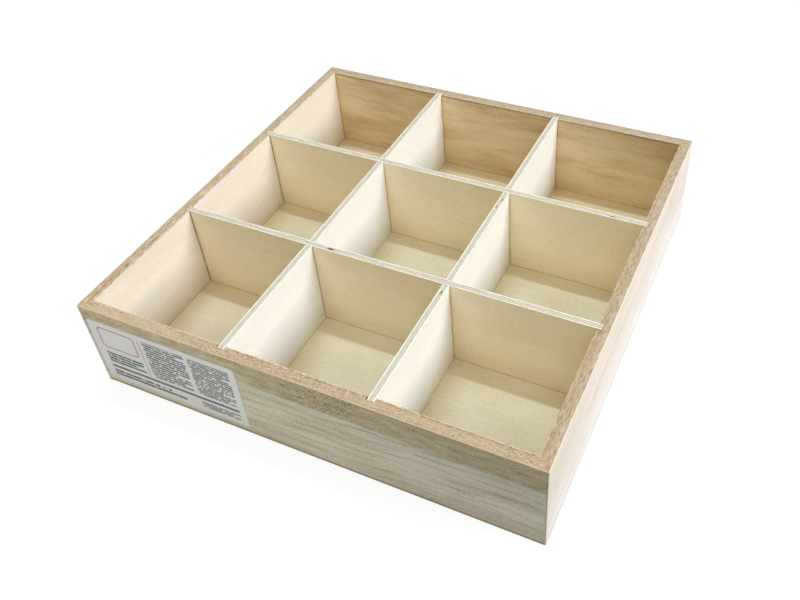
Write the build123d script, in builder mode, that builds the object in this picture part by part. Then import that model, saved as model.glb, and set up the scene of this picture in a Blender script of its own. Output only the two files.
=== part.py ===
"""Open wooden storage tray with nine equal compartments.

Four boards are mitred into a square frame that stands on a thin plywood bottom, held on
from below with fine wire staples. Four plywood dividers stand in upright slots in the
boards and cross each other with half-lap notches, so the grid lifts out of the tray.

X runs left to right along the front board, Y runs front to back and Z is up. The origin
is the middle of the underside. All lengths are in millimetres.
"""
import os

from build123d import *

# Overall size of the tray
tray_width = 240.0
tray_depth = 240.0
tray_height = 54.0

# Boards of the frame
board_thickness = 6.0
corner_round = 0.8
arris_ease = 0.4

# Plywood bottom under the frame
bottom_thickness = 2.0
bottom_edge_ease = 0.5

# Plywood dividers and the slots that hold their ends
divider_thickness = 3.5
slot_depth = 2.2
slot_play = 0.7
slot_end_gap = 0.2
long_divider_lean = 0.25

# Half-lap notches where the dividers cross
lap_play = 0.3
lap_floor_gap = 0.2
lap_height_share = 0.5

# Rows and columns of compartments
column_count = 3
row_count = 3

# Wire staples that hold the bottom to the frame
staple_crown_length = 4.0
staple_leg_length = 10.0
staple_wire_width = 1.2
staple_wire_thickness = 0.6
staple_bend_radius = 0.9
staple_point_height = 0.9
staple_recess = 0.15
staples_per_board = 4
staple_corner_distance = 20.0

# How far a cut runs past the surface that it opens
cut_overrun = 1.0

# Sizes that follow from the ones above
frame_height = tray_height - bottom_thickness
inner_width = tray_width - 2 * board_thickness
inner_depth = tray_depth - 2 * board_thickness
divider_reach_x = inner_width / 2 + slot_depth - slot_end_gap
divider_reach_y = inner_depth / 2 + slot_depth - slot_end_gap
slot_width = divider_thickness + slot_play
lap_width = divider_thickness + lap_play
lap_height = bottom_thickness + frame_height * lap_height_share


def line_centres(inner_length, cell_count):
    """Centres of the dividers that part an inner length into equal compartments."""
    cell_length = (inner_length - (cell_count - 1) * divider_thickness) / cell_count
    pitch = cell_length + divider_thickness
    return [(number - cell_count / 2) * pitch for number in range(1, cell_count)]


slot_places_x = line_centres(inner_width, column_count)
slot_places_y = line_centres(inner_depth, row_count)

# The dividers that run front to back lean to the right in their slots, which leaves the gap
# on the left. The others stand in the middle of theirs.
divider_places_x = [place + long_divider_lean for place in slot_places_x]
divider_places_y = slot_places_y


class Board:
    """One board of the frame, seen from outside: its length and how far out it stands."""

    def __init__(self, name, turn, length, reach, slot_places):
        self.name = name
        self.length = length
        self.reach = reach
        self.slot_places = slot_places
        self.turn = turn

    def level(self, height):
        """A plane at this height whose X runs along the board and whose Y points inwards."""
        return Plane.XY.rotated((0, 0, self.turn)).offset(height)

    def upright(self):
        """A plane along the middle of the board's thickness, with its Y straight up."""
        along = self.level(0)
        middle = along.origin - along.y_dir * (self.reach - board_thickness / 2)
        return Plane(origin=middle, x_dir=along.x_dir, z_dir=-along.y_dir)


# The turned plane counts the slots from its own left, so two boards read them backwards
boards = [
    Board("front_wall", 0, tray_width, tray_depth / 2, slot_places_x),
    Board("right_wall", 90, tray_depth, tray_width / 2, slot_places_y),
    Board("back_wall", 180, tray_width, tray_depth / 2, [-place for place in slot_places_x]),
    Board("left_wall", 270, tray_depth, tray_width / 2, [-place for place in slot_places_y]),
]


def staple_places(board):
    """Middles of one board's staples, evenly spread between its two end staples."""
    first = staple_corner_distance - board.length / 2
    step = -2 * first / (staples_per_board - 1)
    return [first + step * number for number in range(staples_per_board)]


def staple_outline(recess_depth=0):
    """Side view of one staple, or of its pocket with the recess below the crown."""
    leg_top = staple_recess + staple_leg_length
    crown_top = staple_recess + staple_wire_thickness
    outer_half = staple_crown_length / 2
    inner_half = outer_half - staple_wire_thickness
    with BuildSketch() as outline:
        with BuildLine():
            Polyline(
                (-outer_half, staple_recess),
                (outer_half, staple_recess),
                (outer_half, leg_top - staple_point_height),
                (inner_half, leg_top),
                (inner_half, crown_top),
                (-inner_half, crown_top),
                (-inner_half, leg_top),
                (-outer_half, leg_top - staple_point_height),
                close=True,
            )
        make_face()
        fillet(outline.vertices().group_by(Axis.Y)[0], staple_bend_radius)
        if recess_depth:
            with Locations((0, staple_recess + staple_bend_radius)):
                Rectangle(
                    staple_crown_length,
                    staple_bend_radius + recess_depth,
                    align=(Align.CENTER, Align.MAX),
                )
    return outline.sketch


def staples_of(board, outline, mode):
    """Adds the board's staples as solids, or cuts the pockets that they stand in."""
    with BuildSketch(board.upright()) as side_view:
        with Locations(*[(place, 0) for place in staple_places(board)]):
            add(outline)
    extrude(side_view.sketch, amount=staple_wire_width / 2, both=True, mode=mode)


def mitred_board(board):
    """One board of the frame with mitred ends, divider slots and staple pockets."""
    with BuildPart() as wall:
        with BuildSketch(board.level(bottom_thickness)):
            with BuildLine():
                Polyline(
                    (-board.length / 2, -board.reach),
                    (board.length / 2, -board.reach),
                    (board.length / 2 - board_thickness, -board.reach + board_thickness),
                    (-board.length / 2 + board_thickness, -board.reach + board_thickness),
                    close=True,
                )
            make_face()
            RectangleRounded(board.length, 2 * board.reach, corner_round, mode=Mode.INTERSECT)
        extrude(amount=frame_height)
        outward = Axis((0, 0, 0), tuple(-board.level(0).y_dir))
        rim = wall.faces().sort_by(Axis.Z)[-1]
        fillet(rim.edges().sort_by(outward)[-1], arris_ease)
        with BuildSketch(board.level(bottom_thickness)):
            for place in board.slot_places:
                with Locations((place, -board.reach + board_thickness - slot_depth)):
                    Rectangle(slot_width, slot_depth + cut_overrun, align=(Align.CENTER, Align.MIN))
        extrude(amount=frame_height + cut_overrun, mode=Mode.SUBTRACT)
        staples_of(board, staple_outline(), Mode.SUBTRACT)
    return wall


def divider(plane, reach, notch_places, notch_top, notch_bottom):
    """One plywood divider standing on the bottom, with its half-lap notches."""
    with BuildPart() as panel:
        with BuildSketch(plane):
            with Locations((0, bottom_thickness)):
                Rectangle(2 * reach, frame_height, align=(Align.CENTER, Align.MIN))
            for place in notch_places:
                with Locations((place, notch_bottom)):
                    Rectangle(
                        lap_width,
                        notch_top - notch_bottom,
                        align=(Align.CENTER, Align.MIN),
                        mode=Mode.SUBTRACT,
                    )
        extrude(amount=divider_thickness / 2, both=True)
    return panel


def save(named_part, name):
    """Labels a finished piece and writes it to its own file."""
    named_part.part.label = name
    export_step(named_part.part, f"parts/{name}.step")


os.makedirs("parts", exist_ok=True)

# The four mitred boards
for board in boards:
    save(mitred_board(board), board.name)

# The plywood bottom, flush with the outside of the frame
with BuildPart() as bottom_panel:
    with BuildSketch():
        RectangleRounded(tray_width, tray_depth, corner_round)
    extrude(amount=bottom_thickness)
    chamfer(bottom_panel.faces().sort_by(Axis.Z)[0].edges(), bottom_edge_ease)
    for board in boards:
        staples_of(board, staple_outline(staple_recess + cut_overrun), Mode.SUBTRACT)
save(bottom_panel, "bottom_panel")

# The staples, a set of separate pieces of bent wire
with BuildPart() as bottom_staples:
    for board in boards:
        staples_of(board, staple_outline(), Mode.ADD)
save(bottom_staples, "bottom_staples")

# The two dividers that run front to back are notched from above
long_names = ["left_long_divider", "right_long_divider"]
for name, place in zip(long_names, divider_places_x):
    standing = Plane(origin=(place, 0, 0), x_dir=(0, 1, 0), z_dir=(1, 0, 0))
    notch_bottom = lap_height - lap_floor_gap / 2
    save(
        divider(standing, divider_reach_y, divider_places_y, tray_height + cut_overrun, notch_bottom),
        name,
    )

# The two dividers that run left to right are notched from below and sit over the others
cross_names = ["front_cross_divider", "back_cross_divider"]
for name, place in zip(cross_names, divider_places_y):
    standing = Plane(origin=(0, place, 0), x_dir=(1, 0, 0), z_dir=(0, -1, 0))
    notch_top = lap_height + lap_floor_gap / 2
    save(
        divider(standing, divider_reach_x, divider_places_x, notch_top, bottom_thickness - cut_overrun),
        name,
    )
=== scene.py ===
# %% [markdown]
# # A wooden tray with nine compartments
#
# The real thing is a joiner's tray: four boards mitred into a square frame, a thin plywood
# bottom stapled on from below, and four strips of poplar plywood that cross each other in
# half laps. The solids come ready made and stay as they are. What is made here is how the
# tray looks: the finish of every board and strip, a paper label, the fibres that the saw left
# standing on the rims, the light and the camera.

# %% Load the tray
import math
from types import SimpleNamespace

import bpy
import numpy as np
from mathutils import Matrix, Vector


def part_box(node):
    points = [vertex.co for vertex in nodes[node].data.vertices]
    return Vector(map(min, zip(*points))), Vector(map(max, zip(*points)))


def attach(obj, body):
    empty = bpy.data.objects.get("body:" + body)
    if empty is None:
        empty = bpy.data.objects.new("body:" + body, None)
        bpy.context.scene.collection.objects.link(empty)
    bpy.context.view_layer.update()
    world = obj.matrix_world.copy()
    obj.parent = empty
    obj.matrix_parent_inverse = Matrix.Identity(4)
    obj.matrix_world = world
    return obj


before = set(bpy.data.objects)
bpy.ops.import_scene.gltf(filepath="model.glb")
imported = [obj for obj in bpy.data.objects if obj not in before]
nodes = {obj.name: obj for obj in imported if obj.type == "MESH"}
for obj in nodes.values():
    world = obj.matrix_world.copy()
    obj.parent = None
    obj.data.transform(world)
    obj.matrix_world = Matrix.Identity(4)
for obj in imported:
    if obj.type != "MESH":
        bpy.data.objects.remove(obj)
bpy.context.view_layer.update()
print("pieces:", ", ".join(sorted(nodes)))

# %% [markdown]
# ## Sizes
#
# Everything below is worked out in millimetres from the tray's own boxes. The sizes could be
# typed in again, but measured ones keep a pattern that belongs on an edge on that edge, also
# after the solids change. Blender itself counts in metres.

# %% Measure the tray
MM = 0.001


def box_mm(name):
    """Lowest and highest corner of one piece, in millimetres."""
    low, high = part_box(name)
    return np.array(low) / MM, np.array(high) / MM


front_low, front_high = box_mm("front_wall")
bottom_high = box_mm("bottom_panel")[1]
half_width = bottom_high[0]
board_thickness = front_high[1] - front_low[1]
inner_half = half_width - board_thickness
rim_height = front_high[2]
floor_height = bottom_high[2]
divider_low, divider_high = box_mm("left_long_divider")
divider_thickness = divider_high[0] - divider_low[0]
opening = (2 * inner_half - 2 * divider_thickness) / 3
pitch = opening + divider_thickness
print(f"half width {half_width:.1f}, boards {board_thickness:.1f}, rim at {rim_height:.1f} mm")
print(f"compartments {opening:.2f} mm wide, {pitch:.2f} mm apart")

# %% [markdown]
# ## Camera
#
# The viewpoint was found by fitting the corners of the tray: above the front right corner,
# turned a little, with a moderately long lens. The shift is the small amount by which the
# tray sits off the middle of the picture. A camera could also be aimed with a Track To
# constraint, but its axes worked out here take the roll as well.

# %% The camera's axes
def camera_turn(azimuth, elevation, roll):
    """Rotation of a camera that looks along the azimuth and down by the elevation.

    Its columns are the camera's own right, up and back: right is level, up is square to the
    line of sight, and both are then turned about that line by the roll."""
    sight = np.array([
        -math.sin(azimuth) * math.cos(elevation),
        math.cos(azimuth) * math.cos(elevation),
        -math.sin(elevation),
    ])
    level = np.array([math.cos(azimuth), math.sin(azimuth), 0.0])
    upward = np.cross(level, sight)
    right = math.cos(roll) * level + math.sin(roll) * upward
    return np.column_stack([right, np.cross(right, sight), -sight])


def stand(thing, turn, place):
    """Puts a camera or a lamp at a place in metres. The columns of turn are its right, up and back."""
    bpy.context.scene.collection.objects.link(thing)
    thing.matrix_world = Matrix.Translation(place) @ Matrix(turn.tolist()).to_4x4()


sample = camera_turn(0.5, 0.6, 0.1)
print("its axes are square to each other:", np.allclose(sample.T @ sample, np.eye(3)))

# %% Set the camera
# Place and lens in millimetres, the shift in shares of the picture's width
CAMERA_PLACE = (178.77, -307.13, 344.41)
CAMERA_AZIMUTH = math.radians(26.565)
CAMERA_ELEVATION = math.radians(40.825)
CAMERA_ROLL = math.radians(-3.141)
CAMERA_LENS = 39.228
CAMERA_SHIFT = (-0.0698, -0.0793)
PICTURE_WIDTH = 800

camera_data = bpy.data.cameras.new("camera")
camera_data.lens = CAMERA_LENS
camera_data.shift_x, camera_data.shift_y = CAMERA_SHIFT
camera = bpy.data.objects.new("camera", camera_data)
stand(camera, camera_turn(CAMERA_AZIMUTH, CAMERA_ELEVATION, CAMERA_ROLL), np.array(CAMERA_PLACE) * MM)
bpy.context.scene.camera = camera
frame_mm = np.linalg.norm(CAMERA_PLACE) * camera_data.sensor_width / CAMERA_LENS
print(f"one pixel covers about {frame_mm / PICTURE_WIDTH:.1f} mm of the tray, and less would hardly show")

# %% [markdown]
# ## Colours and nodes
#
# Colours are written as on a colour chart, in sRGB, and turned to the linear values that the
# renderer adds up. One small function adds a node, sets it and joins it to what feeds it. A
# node tree can be drawn by hand in the shader editor, but in a script it can be read, and its
# numbers can follow the sizes of the tray.

# %% One colour, one node
def linear(code):
    """Linear RGBA of an sRGB hex code: each channel c becomes ((c + 0.055) / 1.055) ** 2.4."""
    channels = [int(code[place:place + 2], 16) / 255 for place in (1, 3, 5)]
    return [c / 12.92 if c <= 0.04045 else ((c + 0.055) / 1.055) ** 2.4 for c in channels] + [1.0]


def add(tree, kind, inputs=(), output=0, stops=(), **settings):
    """Adds one node with its settings, its values or links, and the stops of a ramp.

    inputs is a list in the order of the sockets or a dict by their names, and stops run from
    low to high. It returns one output, by number or by name, or the node where that is None."""
    node = tree.nodes.new("ShaderNode" + kind)
    for name, value in settings.items():
        setattr(node, name, value)
    for name, value in inputs.items() if isinstance(inputs, dict) else enumerate(inputs):
        if isinstance(value, bpy.types.NodeSocket):
            tree.links.new(value, node.inputs[name])
        elif value is not None:
            node.inputs[name].default_value = linear(value) if isinstance(value, str) else value
    # A new ramp has its two ends already
    for position, _ in stops[1:-1]:
        node.color_ramp.elements.new(position)
    for number, (position, code) in enumerate(stops):
        node.color_ramp.elements[number].position = position
        node.color_ramp.elements[number].color = linear(code)
    return node if output is None else node.outputs[output]


print("half grey is", round(linear("#808080")[0], 3), "in linear light")

# %% [markdown]
# ## How wood is drawn
#
# A board is cut out of a trunk, so what its faces show are slices through one solid pattern:
# year rings, the fibres along the trunk, and short dark pores. A picture wrapped round the
# board would break at each edge, but a pattern in space runs on from a face to the rim, as
# the real one does. So every wood here is worked out from the place in the piece, in
# millimetres, with the length of the grain along the first axis. Noise that is stretched
# along that axis looks like fibres, and long soft noise like the clouds in a planed face.

# %% Patterns in space
def new_material(name):
    """An empty material and its node tree."""
    material = bpy.data.materials.new(name)
    material.use_nodes = True
    material.node_tree.nodes.clear()
    return material, material.node_tree


def grain_place(tree, turn=0.0, centre=(0.0, 0.0, 0.0)):
    """The place on a piece in millimetres, turned back so that the grain runs along X."""
    place = add(tree, "TexCoord", output="Object")
    turned = add(tree, "Mapping", {"Vector": place, "Scale": (1 / MM,) * 3, "Rotation": (0, 0, -turn)})
    return add(tree, "VectorMath", [turned, centre], operation="SUBTRACT")


def new_wood(name, seed, turn=0.0, centre=(0.0, 0.0, 0.0)):
    """A new material with its tree, its seed and a place in it, also as along, depth and height."""
    material, tree = new_material(name)
    place = grain_place(tree, turn, centre)
    axes = add(tree, "SeparateXYZ", [place], output=None).outputs
    return SimpleNamespace(material=material, tree=tree, seed=seed, place=place,
                           along=axes["X"], depth=axes["Y"], height=axes["Z"])


def patches(tree, place, sizes, seed=0.0, detail=2.0, roughness=0.55, bend=0.0):
    """Soft noise whose patches have these sizes in millimetres along the three axes.

    detail adds finer noise over it, roughness says how strongly, and bend curls its patches."""
    scaled = add(tree, "VectorMath", [place, [1 / size for size in sizes]], operation="MULTIPLY")
    inputs = {"Vector": scaled, "W": seed, "Scale": 1.0, "Detail": detail, "Roughness": roughness,
              "Distortion": bend}
    return add(tree, "TexNoise", inputs, noise_dimensions="4D")


def summed(tree, parts, total=0.0):
    """The sum of some patterns, each times its weight."""
    for pattern, weight in parts:
        total = add(tree, "Math", [pattern, weight, total], operation="MULTIPLY_ADD")
    return total


print("patterns are scaled by", round(1 / MM), "to count in millimetres")

# %% [markdown]
# ## How raw wood shines
#
# None of this wood was painted, oiled or varnished. Its cell walls bend light with an IOR of
# about 1.5, but a planed or sawn face is a field of open fibres, so what comes back is spread
# wide: the roughness is high, and the relief is a quarter of a millimetre deep at most. Such a
# relief could be cut into the meshes, but the solids stay as they are, and for dents as fine
# as these a Bump node does as well.

# %% Raw wood
WOOD_IOR = 1.5


def raw_wood(wood, colour, roughness, relief, strength, depth):
    """Closes a material as raw wood, whose relief is this many millimetres deep."""
    tree = wood.tree
    bump = add(tree, "Bump", {"Height": relief, "Strength": strength, "Distance": depth * MM})
    surface = add(tree, "BsdfPrincipled", {
        "Base Color": colour, "Roughness": roughness, "Normal": bump, "IOR": WOOD_IOR})
    add(tree, "OutputMaterial", [surface], output=None)
    return wood.material


mirrored = ((WOOD_IOR - 1) / (WOOD_IOR + 1)) ** 2
print(f"seen from above, raw wood mirrors {mirrored:.0%} of the light")

# %% [markdown]
# ## Year rings
#
# A tree grows pale wood in spring and a thin dark line of denser wood in late summer. Sawn
# along the trunk, the rings come out as long lines that climb or sink a little. Blender's
# Wave texture draws such lines too, but evenly. Here the count of rings up to a place is
# worked out and bent by slow noise, and its fraction says how far that year had come.

# %% Rings
RING_RISE, RING_SLANT = 0.05, 0.4


def year_rings(tree, place, spacing, wander, seed):
    """Dark late wood at each year ring, from 0 to 1.

    The ring count is (z - RING_RISE x + RING_SLANT y) / spacing plus wander times slow noise.
    Its fraction runs from the pale early wood up to a thin dark line of late wood, and a
    second noise lets the line fade in and out."""
    axis = (-RING_RISE / spacing, RING_SLANT / spacing, 1 / spacing)
    count = add(tree, "VectorMath", [place, axis], output="Value", operation="DOT_PRODUCT")
    count = summed(tree, [(patches(tree, place, (70, 30, 22), seed), wander)], count)
    part = add(tree, "Math", [count], operation="FRACT")
    line = add(tree, "ValToRGB", [part], stops=[
        (0.0, "#303030"), (0.3, "#000000"), (0.62, "#4A4A4A"),
        (0.84, "#FFFFFF"), (0.94, "#8A8A8A"), (1.0, "#202020")])
    faint = patches(tree, place, (24, 5, 2.5), seed + 1)
    fade = add(tree, "MapRange", [faint, 0.36, 0.62, 0.15, 1.0])
    return add(tree, "Math", [line, fade], operation="MULTIPLY")


print(f"a ring climbs by {RING_RISE:.0%} of the way along the board")

# %% [markdown]
# ## Painted shade in the corners
#
# A brown line is painted up every inner corner and a thinner one along the foot. It is painted
# shade, for the shadow that gathers where two faces meet. It could be painted by hand or
# found with an Ambient Occlusion node. Since the grid repeats, the distance from its faces is
# enough, and it stays sharp in any render. Where a divider or a half lap covers the wood, no
# shade is painted, which shows when the grid is lifted out.

# %% Corners and feet
# One brown serves the glue in the mitres and the painted shade in the corners and along the feet
GLUE_AND_CORNER_SHADE = "#BC953A"
# Noise times this many millimetres makes the edge of the painted shade ragged
RAGGED = -0.8
# Two distances between which the painted shade fades, and how much of it lies at each
CORNER_LINE, FOOT_LINE = (-0.3, 0.35, 0.8, 0.0), (-0.35, 0.15, 0.6, 0.0)
# Behind a face of the grid, wood is covered from the first of these on and bare up to the second
COVERED, BARE = -0.75, -0.4


def grid_edge(tree, value):
    """How far a place is from the nearest upright face of the grid, in millimetres.

    The faces stand half an opening to each side of every cell's middle, and the cells repeat
    with the pitch of the grid, so the size of the wrapped place counts from a middle."""
    wrapped = add(tree, "Math", [value, pitch / 2, -pitch / 2], operation="WRAP")
    off_middle = add(tree, "Math", [wrapped], operation="ABSOLUTE")
    return add(tree, "Math", [opening / 2, off_middle], operation="SUBTRACT")


def exposed(tree, edge):
    """1 where wood is open to the air and 0 where a divider's end or a half lap covers it."""
    return add(tree, "MapRange", [edge, COVERED, BARE])


def painted_corner_shade(wood):
    """How much painted corner shade lies on an upright face, from 0 to 1."""
    tree = wood.tree
    loose = patches(tree, wood.place, (2.0, 2.0, 2.0), wood.seed + 19)
    edge = grid_edge(tree, wood.along)
    upright = add(tree, "MapRange", [summed(tree, [(loose, RAGGED)], edge), *CORNER_LINE])
    upright = add(tree, "Math", [upright, exposed(tree, edge)], operation="MULTIPLY")
    above_floor = add(tree, "Math", [wood.height, floor_height], operation="SUBTRACT")
    foot = add(tree, "MapRange", [summed(tree, [(loose, RAGGED)], above_floor), *FOOT_LINE])
    return add(tree, "Math", [upright, foot], operation="MAXIMUM")


# How far the painted corner shade reaches
print(f"dirt reaches {CORNER_LINE[1] - RAGGED:.2f} mm from each corner at most")

# %% [markdown]
# ## Painted light: warm tops and golden corners
#
# Faces are painted warmer towards the rim, for the light that reaches them there, and cooler in
# the shade below. On some faces a golden tint, deepest towards one top corner of each
# compartment, paints the shade where less light bounces in from the bright face beside it.
# Mixing in a yellow would cover the grain. A glaze multiplies instead: white changes nothing,
# and a warm tone takes away a share of the blue, while the grain shows through as on the real
# wood.

# %% Yellowed faces
# A Mix node takes two numbers at 2 and 3, or two colours at 6 and 7, which it then gives at 2
COLOURS = {"data_type": "RGBA", "output": 2}
WARM_LIGHT_TINT, BOUNCE_SHADE_TINT = "#F7F3EB", "#F3EDDA"
# Heights between which the painted warm light sets in, and between which the painted golden shade turns
# towards a corner
WARM_LIGHT_RISE, BOUNCE_SHADE_RISE = (18.0, 40.0), (14.0, 42.0)


def glazed(tree, colour, weight, tone):
    """A colour multiplied by a tone, wholly where the weight is 1 and not at all where it is 0."""
    glaze = add(tree, "Mix", {0: weight, 6: "#FFFFFF", 7: tone}, **COLOURS)
    return add(tree, "VectorMath", [colour, glaze], operation="MULTIPLY")


def painted_warm_light(wood, colour, strength):
    """The colour of an upright face, painted warmer towards the top for the light that reaches it there."""
    high = add(wood.tree, "MapRange", [wood.height, *WARM_LIGHT_RISE, 0.0, strength])
    return glazed(wood.tree, colour, high, WARM_LIGHT_TINT)


def painted_bounce_shade(wood, colour, way):
    """The colour of an upright face with painted shade, more golden towards one top corner of every
    compartment, where less light bounces in.

    With u from 0 to 1 across a compartment and v from 0 near the floor to 1 near the rim, the
    golden glaze weighs (1 - v) 0.68 + v (0.05 + 0.85 u). way is 1 or -1 for the side it leans to."""
    tree = wood.tree
    wrapped = add(tree, "Math", [wood.along, pitch / 2, -pitch / 2], operation="WRAP")
    across = add(tree, "MapRange", [wrapped, -way * opening / 2, way * opening / 2, 0.05, 0.9])
    weight = add(tree, "Mix", {0: add(tree, "MapRange", [wood.height, *BOUNCE_SHADE_RISE]), 2: 0.68, 3: across})
    return glazed(tree, colour, weight, BOUNCE_SHADE_TINT)


print(f"yellowing takes up to {1 - linear(WARM_LIGHT_TINT)[2]:.0%} of the blue away")

# %% [markdown]
# ## The boards: planed faces
#
# The frame is made of a pale softwood, planed on its faces and left raw. The light side of
# the tray looks almost white, while the shaded front shows thin brown year rings that climb a
# little to the right. One number serves for all of it: how dark the wood is at a place. It
# adds up rings, fibres, clouds and flecks, and a mix of two tones turns it into a colour.
# Separate textures for each tone would drift apart. The same number colours both faces.

# %% How dark the planed wood is
RING_SPACING, FINE_RING_SPACING = 5.2, 1.9


def plane_the_wood(wood, look):
    """Works out the patterns of the planed faces, and their shade from 0 for pale to 1 for dark.

    Real fibres are a few hundredths of a millimetre thick. Those drawn here are about half a
    millimetre, nearly a pixel, because finer ones wouldn't show."""
    tree, place, seed = wood.tree, wood.place, wood.seed
    wood.rings = year_rings(tree, place, RING_SPACING, 2.6, seed)
    wood.fine_rings = year_rings(tree, place, FINE_RING_SPACING, 5.0, seed + 30)
    wood.fibres = patches(tree, place, (look.run, 0.45, 0.45), seed + 3, detail=3)
    clouds = patches(tree, place, (45, 12, 9), seed + 7)
    flecks = patches(tree, place, (1.3, 0.55, 0.6), seed + 9, detail=1)
    # Where fibres and flecks weigh less, the clouds weigh more, so that the mean stays
    shade = summed(tree, [
        (wood.rings, look.ringed), (wood.fine_rings, look.ringed / 2), (wood.fibres, look.fine),
        (clouds, 2.7 - 2 * look.fine), (flecks, look.fine)])
    # Noise keeps close to its mean, so the middle of the sum is stretched to run from 0 to 1
    wood.shade = add(tree, "MapRange", [shade, 1.2, 1.9])


rings_up_a_board = (rim_height - floor_height) / RING_SPACING
print(f"about {rings_up_a_board:.0f} wide year rings fit into the height of a board")

# %% [markdown]
# ## Knots, marks and voids
#
# The small knots of a face, the dark marks on a rim and the voids in a plywood's core are all
# little more than ragged dark ellipses from here. Images of them could be laid on as decals.
# But a handful of places and sizes is soon written down, and noise added to the distance from
# the middle of an ellipse makes its outline ragged.

# %% Ragged spots
# The axis in which spots lie on a rim or an edge, and on a face
ACROSS, UPWARD = 1, 2


def spots(tree, place, marks, axis):
    """1 inside small ragged ellipses and 0 outside.

    A mark is its place along the grain and along the given axis, then its half sizes, in mm.
    A place is inside where its distance from the middle, in half sizes, plus noise is small."""
    total = 0.0
    for along, across, half_length, half_breadth in marks:
        scale = [1 / half_length, 0.0, 0.0]
        scale[axis] = 1 / half_breadth
        middle = [along / half_length, 0.0, 0.0]
        middle[axis] = across / half_breadth
        squeezed = add(tree, "VectorMath", [place, scale], operation="MULTIPLY")
        away = add(tree, "VectorMath", [squeezed, middle], output="Value", operation="DISTANCE")
        away = summed(tree, [(patches(tree, place, (0.9, 0.9, 0.9), along), 1.1)], away)
        inside = add(tree, "MapRange", [away, 1.3, 1.7, 1.0, 0.0])
        total = add(tree, "Math", [total, inside], operation="MAXIMUM")
    return total


print("spots on a face lie along", "XYZ"[0], "and", "XYZ"[UPWARD])

# %% [markdown]
# ## The boards: a second stave on the front
#
# The front board is glued up from two staves. Above a level joint the wood is darker and
# blotchy, with tiny knots near the middle of the board, where the grain curls round them.
# Below the joint planing has left faint stripes. The stave could be a board of its own, but
# the real one was glued on before the board was planed and cut, and only its colour tells it
# apart. So it is a second colour that takes over above the joint.

# %% The top stave
STAVE_JOINT = (38.9, 39.5)
CURL_MIDDLE = 15.0
# Two places along the board and how bright the stave is there
STAVE_LIGHT = (-120.0, 118.0, 1.12, 0.94)
# The stripes as shares of the height up to the joint
STRIPED_HEIGHT = 40.0
STRIPES = [(0.1, "#FDFDFD"), (0.25, "#F7F7F7"), (0.45, "#FFFFFF"), (0.65, "#F7F7F7"), (0.88, "#F2F2F2")]


def curled_grain(wood):
    """Crinkled grain round the knots of the top stave, fading out 8 to 26 mm from its middle."""
    tree = wood.tree
    crinkle = patches(tree, wood.place, (1.7, 0.8, 0.6), wood.seed + 27, detail=1, bend=1.2)
    crinkle = add(tree, "MapRange", [crinkle, 0.25, 0.75, -0.5, 0.7])
    away = add(tree, "Math", [wood.along, CURL_MIDDLE], operation="SUBTRACT")
    away = add(tree, "Math", [away], operation="ABSOLUTE")
    near = add(tree, "MapRange", [away, 8.0, 26.0, 1.0, 0.0])
    return add(tree, "Math", [near, crinkle], operation="MULTIPLY")


def top_stave(wood, colour, tones):
    """Lays the darker stave over the top of an outer face, and the stripes of the plane below it."""
    tree, place, seed = wood.tree, wood.place, wood.seed
    blotches = patches(tree, place, (11, 3, 3), seed + 5, detail=3)
    speckle = patches(tree, place, (0.75, 0.6, 0.7), seed + 21, detail=0)
    shade = summed(tree, [(wood.fibres, 0.4), (blotches, 1.2), (speckle, 0.9)], curled_grain(wood))
    shade = add(tree, "MapRange", [shade, 0.9, 1.6])
    stave = add(tree, "Mix", {0: shade, 6: tones[0], 7: tones[1]}, **COLOURS)
    light = add(tree, "MapRange", [wood.along, *STAVE_LIGHT])
    stave = add(tree, "VectorMath", {0: stave, "Scale": light}, operation="SCALE")
    share = add(tree, "Math", [wood.height, STRIPED_HEIGHT], operation="DIVIDE")
    striped = add(tree, "ValToRGB", [share], stops=STRIPES)
    colour = add(tree, "VectorMath", [colour, striped], operation="MULTIPLY")
    upper = add(tree, "MapRange", [wood.height, *STAVE_JOINT])
    return add(tree, "Mix", {0: upper, 6: colour, 7: stave}, **COLOURS)


print(f"the top stave is {rim_height - STAVE_JOINT[1]:.1f} mm high")

# %% [markdown]
# ## The boards: outer faces
#
# The front board is painted darker towards its right end, which is painted shade. The right
# board is painted warmer towards the top and a little darker at its front end, which is painted
# light and shade. The back and left boards, which can't be seen from the front, are taken to
# have soft brown rings. Each of these is one more layer over the plain wood, laid on only where
# the board's own list asks for it, because four materials of their own would repeat most of it.
# At the right end of each board the mitre comes out on the face, with painted shade on the
# rounded corner.

# %% Outer faces
MITRE_SHADOW = (half_width - 0.95, half_width - 0.6)
RING_BROWN, KNOT_BROWN, MITRE_BROWN = "#8F7A54", "#5E4E34", "#6A6352"
# Heights between which a face takes on its painted light tone towards the top
LIT_TOP_RISE = (3.0, 32.0)


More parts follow.
